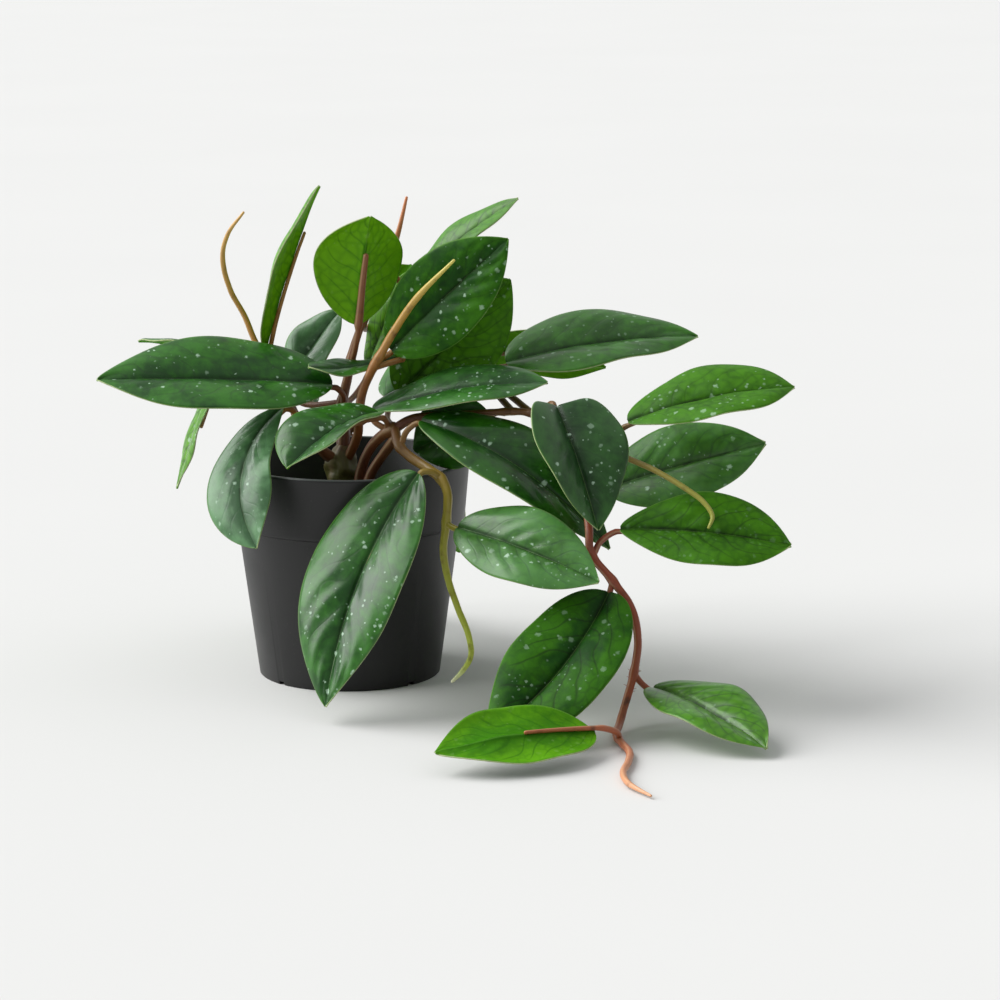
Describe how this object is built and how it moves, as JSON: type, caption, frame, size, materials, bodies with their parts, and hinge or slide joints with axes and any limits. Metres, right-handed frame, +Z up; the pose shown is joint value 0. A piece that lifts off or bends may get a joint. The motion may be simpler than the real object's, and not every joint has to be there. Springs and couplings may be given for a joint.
{
  "type": "potted hoya plant",
  "caption": "Hoya with flecked oval leaves on arching and trailing stems, standing in a plain round black nursery pot, its long stem laid along the surface.",
  "frame": {"origin": "centre of the pot's underside, on the surface it stands on", "axes": "+Z up along the pot's axis, -Y towards the front, where the long stem trails"},
  "size_m": [0.3357, 0.3593, 0.2425],
  "materials": {
    "black_plastic": "satin black moulded plastic",
    "potting_soil": "loose dark fibrous potting mix",
    "olive_stem": "satin olive-green bark, knobbly",
    "brown_stem": "satin brown stem",
    "tan_stem": "satin tan stem",
    "green_stem": "satin olive stem turning yellow-green at the tip",
    "red_brown_stem": "satin red-brown stem turning tan at the tip",
    "dark_leaf": "deep green, silvery flecks, satin gloss, pale edge",
    "light_leaf": "yellow-green, veins showing through, pale edge"
  },
  "bodies": {
    "root": {"pot": "black_plastic", "soil": "potting_soil", "trunk": "olive_stem", "stem_left": "olive_stem", "stem_upright": "brown_stem", "stem_upper": "tan_stem", "stem_front": "brown_stem", "stem_pendant": "green_stem", "stem_right": "brown_stem", "stem_trailing": "red_brown_stem", "stem_rear": "brown_stem", "leaf_01_left_large": "dark_leaf", "leaf_02_left_behind": "dark_leaf", "leaf_03_left_upright": "light_leaf", "leaf_04_round_back": "light_leaf", "leaf_05_behind_left": "dark_leaf", "leaf_06_behind_middle": "light_leaf", "leaf_07_top_right_rear": "light_leaf", "leaf_08_top_right": "dark_leaf", "leaf_09_below_top_right": "dark_leaf", "leaf_10_edge_on": "light_leaf", "leaf_11_small_middle": "dark_leaf", "leaf_12_front_left_fold": "dark_leaf", "leaf_13_over_left_rim": "dark_leaf", "leaf_14_low_left": "light_leaf", "leaf_15_front_large": "dark_leaf", "leaf_16_middle_right": "dark_leaf", "leaf_17_dark_behind": "dark_leaf", "leaf_18_long_drooping": "dark_leaf", "leaf_19_right_front": "dark_leaf", "leaf_20_top_right_long": "dark_leaf", "leaf_21_under_top_right": "dark_leaf", "leaf_22_far_right_upper": "dark_leaf", "leaf_23_far_right_behind": "dark_leaf", "leaf_24_far_right_lower": "dark_leaf", "leaf_25_front_right": "dark_leaf", "leaf_26_sloping_to_surface": "dark_leaf", "leaf_27_resting_right": "dark_leaf", "leaf_28_resting_left": "dark_leaf", "leaf_29_rear_right": "dark_leaf", "leaf_30_rear_left": "dark_leaf", "leaf_31_rear_low": "dark_leaf", "leaf_32_rear_left_high": "dark_leaf", "leaf_33_rear_right_high": "dark_leaf"}
  },
  "joints": []
}
